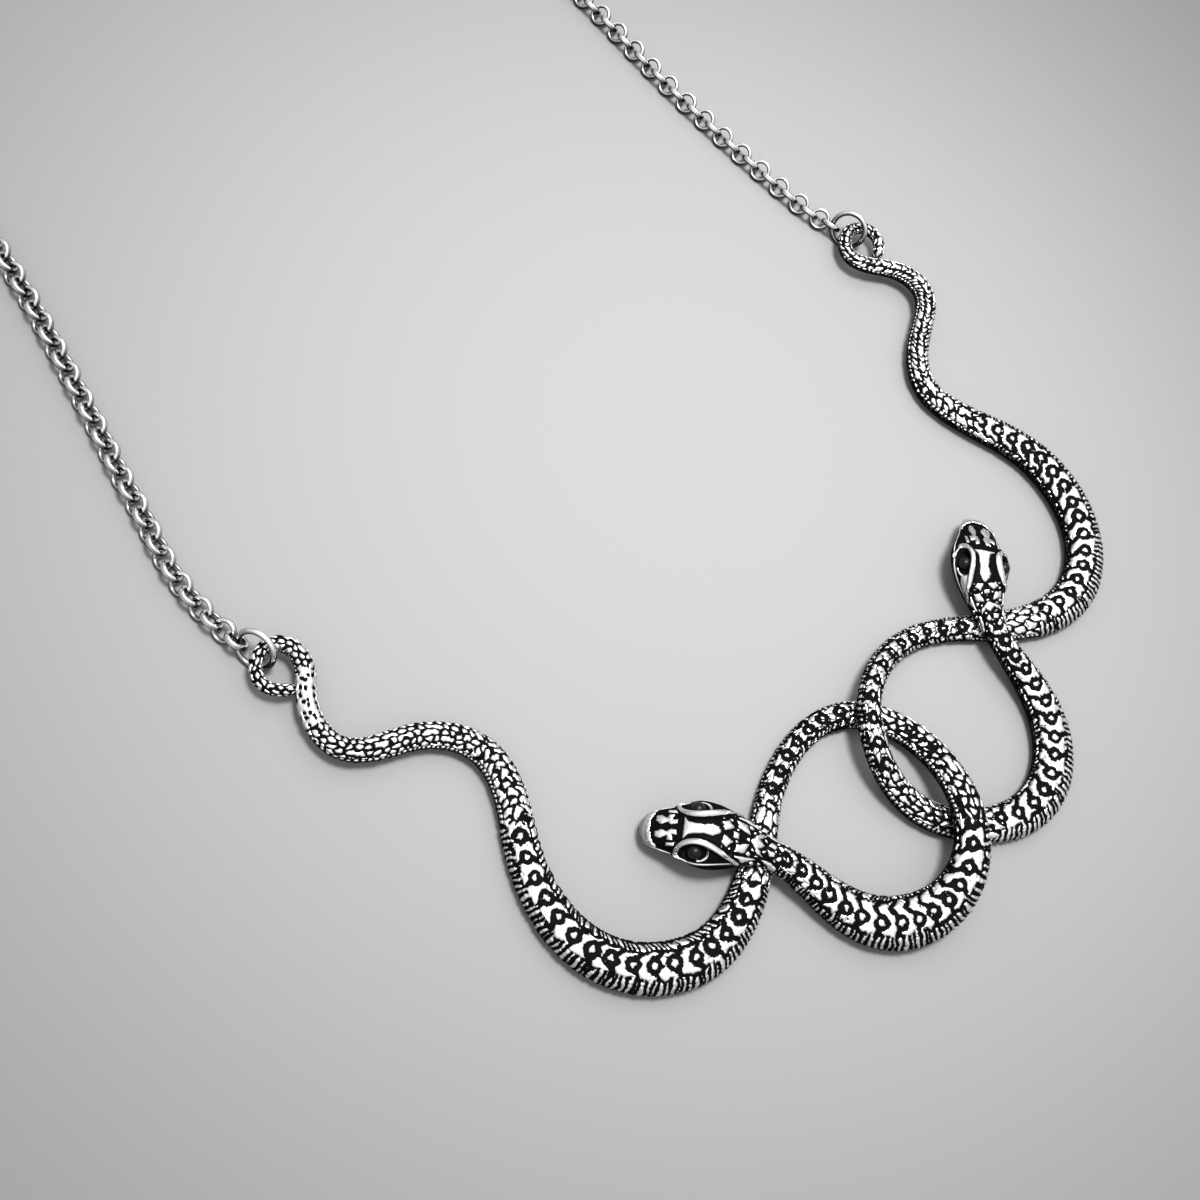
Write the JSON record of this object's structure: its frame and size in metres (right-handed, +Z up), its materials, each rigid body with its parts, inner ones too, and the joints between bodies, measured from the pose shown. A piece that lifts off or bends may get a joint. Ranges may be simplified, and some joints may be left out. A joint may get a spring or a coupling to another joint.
{
  "type": "snake necklace",
  "caption": "Necklace of round chain links that carries two linked silver snakes, their tails curled into rings and their heads laid back over their own coils.",
  "frame": {"origin": "on the surface that the necklace lies on, below the middle of its footprint", "axes": "+Y from the pendant to the clasp, +Z up out of the surface, +X to the right"},
  "size_m": [0.0914, 0.2202, 0.0057],
  "materials": {
    "oxidised_silver": "polished cast silver, blackened in the recesses",
    "bright_silver": "polished"
  },
  "bodies": {
    "root": {"snake_left": "oxidised_silver", "snake_right": "oxidised_silver", "jump_ring_left": "bright_silver", "jump_ring_right": "bright_silver", "chain_left": "bright_silver", "chain_right": "bright_silver", "clasp": "bright_silver", "clasp_ring": "bright_silver"}
  },
  "joints": []
}
